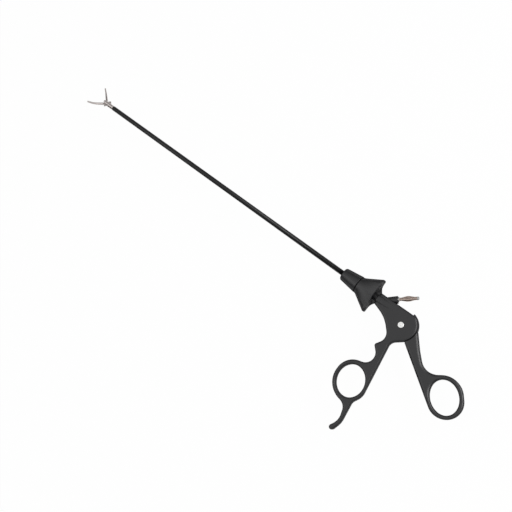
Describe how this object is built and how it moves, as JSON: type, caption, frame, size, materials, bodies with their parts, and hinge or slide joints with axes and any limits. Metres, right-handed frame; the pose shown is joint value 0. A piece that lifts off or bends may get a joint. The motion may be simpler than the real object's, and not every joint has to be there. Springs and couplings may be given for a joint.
{
  "type": "laparoscopic dissecting forceps",
  "caption": "Laparoscopic forceps with curved dissecting jaws, a long insulated shaft, a rotation knob, ring handles and a contact plug.",
  "frame": {"origin": "on the shaft's axis at the front face of the collar", "axes": "+X along the shaft towards the jaws, +Y in the handle's flat plane from the shaft towards the finger ring, +Z square to that plane"},
  "size_m": [0.5154, 0.1427, 0.0314],
  "materials": {
    "moulded_black": "fine moulded charcoal nylon, slightly satin on the edges",
    "sheath_black": "smooth black shrink insulation with a soft gloss",
    "seal_rubber": "dull black",
    "jaw_steel": "fine ground surgical steel, polished on the edges",
    "tube_steel": "drawn steel tube and rod",
    "pin_steel": "polished turned pins and rivet",
    "bearing_plastic": "plain bearing plastic, hidden inside",
    "contact_bronze": "dull pinkish contact bronze",
    "plug_nickel": "nickel-plated brass, fine turned"
  },
  "bodies": {
    "root": {"finger_handle": "moulded_black", "pivot_rivet": "pin_steel", "rivet_cap": "pin_steel", "plug_collar": "plug_nickel", "plug_core": "plug_nickel", "contact_cage": "contact_bronze", "plug_nose": "plug_nickel"},
    "lever": {"thumb_handle": "moulded_black", "lever_bush": "bearing_plastic"},
    "rotor": {"rotation_knob": "moulded_black", "front_collar": "moulded_black", "collar_seal_ring": "seal_rubber", "bearing_sleeve": "bearing_plastic", "retaining_clip": "pin_steel", "insulation_sheath": "sheath_black", "inner_tube": "tube_steel", "jaw_clevis": "jaw_steel", "jaw_pivot_pin": "pin_steel"},
    "rod": {"push_rod": "tube_steel", "rod_ball": "pin_steel", "rod_pin": "pin_steel"},
    "upper_jaw": {"upper_jaw": "jaw_steel", "upper_tang_pin": "pin_steel"},
    "lower_jaw": {"lower_jaw": "jaw_steel", "lower_tang_pin": "pin_steel"},
    "upper_link": {"upper_link": "jaw_steel"},
    "lower_link": {"lower_link": "jaw_steel"}
  },
  "joints": [
    {"name": "lever_hinge", "type": "hinge", "parent": "root", "child": "lever", "pos_m": [-0.0722, 0.0074, 0], "axis": [0, 0, -1], "range_deg": [0, 26.04]},
    {"name": "shaft_rotation", "type": "hinge", "parent": "root", "child": "rotor", "pos_m": [0, 0, 0], "axis": [1, 0, 0], "continuous": true},
    {"name": "rod_slide", "type": "slide", "parent": "rotor", "child": "rod", "axis": [-1, 0, 0], "range_m": [0, 0.00342]},
    {"name": "upper_jaw_hinge", "type": "hinge", "parent": "rotor", "child": "upper_jaw", "pos_m": [0.3422, 0, 0], "axis": [0, -0.4067, 0.9135], "range_deg": [0, 38]},
    {"name": "lower_jaw_hinge", "type": "hinge", "parent": "rotor", "child": "lower_jaw", "pos_m": [0.3422, 0, 0], "axis": [0, 0.4067, -0.9135], "range_deg": [0, 38]},
    {"name": "upper_link_hinge", "type": "hinge", "parent": "upper_jaw", "child": "upper_link", "pos_m": [0.33926, 0.0037, 0.00165], "axis": [0, 0.4067, -0.9135], "range_deg": [0, 70]},
    {"name": "lower_link_hinge", "type": "hinge", "parent": "lower_jaw", "child": "lower_link", "pos_m": [0.33926, -0.0037, -0.00165], "axis": [0, -0.4067, 0.9135], "range_deg": [0, 70]}
  ],
  "couplings": [
    {"joint": "rod_slide", "follows": "lever_hinge", "m_per_rad": 0.0075294},
    {"joint": "upper_jaw_hinge", "follows": "lever_hinge", "ratio": 1.4589},
    {"joint": "lower_jaw_hinge", "follows": "lever_hinge", "ratio": 1.4589},
    {"joint": "upper_link_hinge", "follows": "lever_hinge", "ratio": 2.6874},
    {"joint": "lower_link_hinge", "follows": "lever_hinge", "ratio": 2.6874}
  ]
}
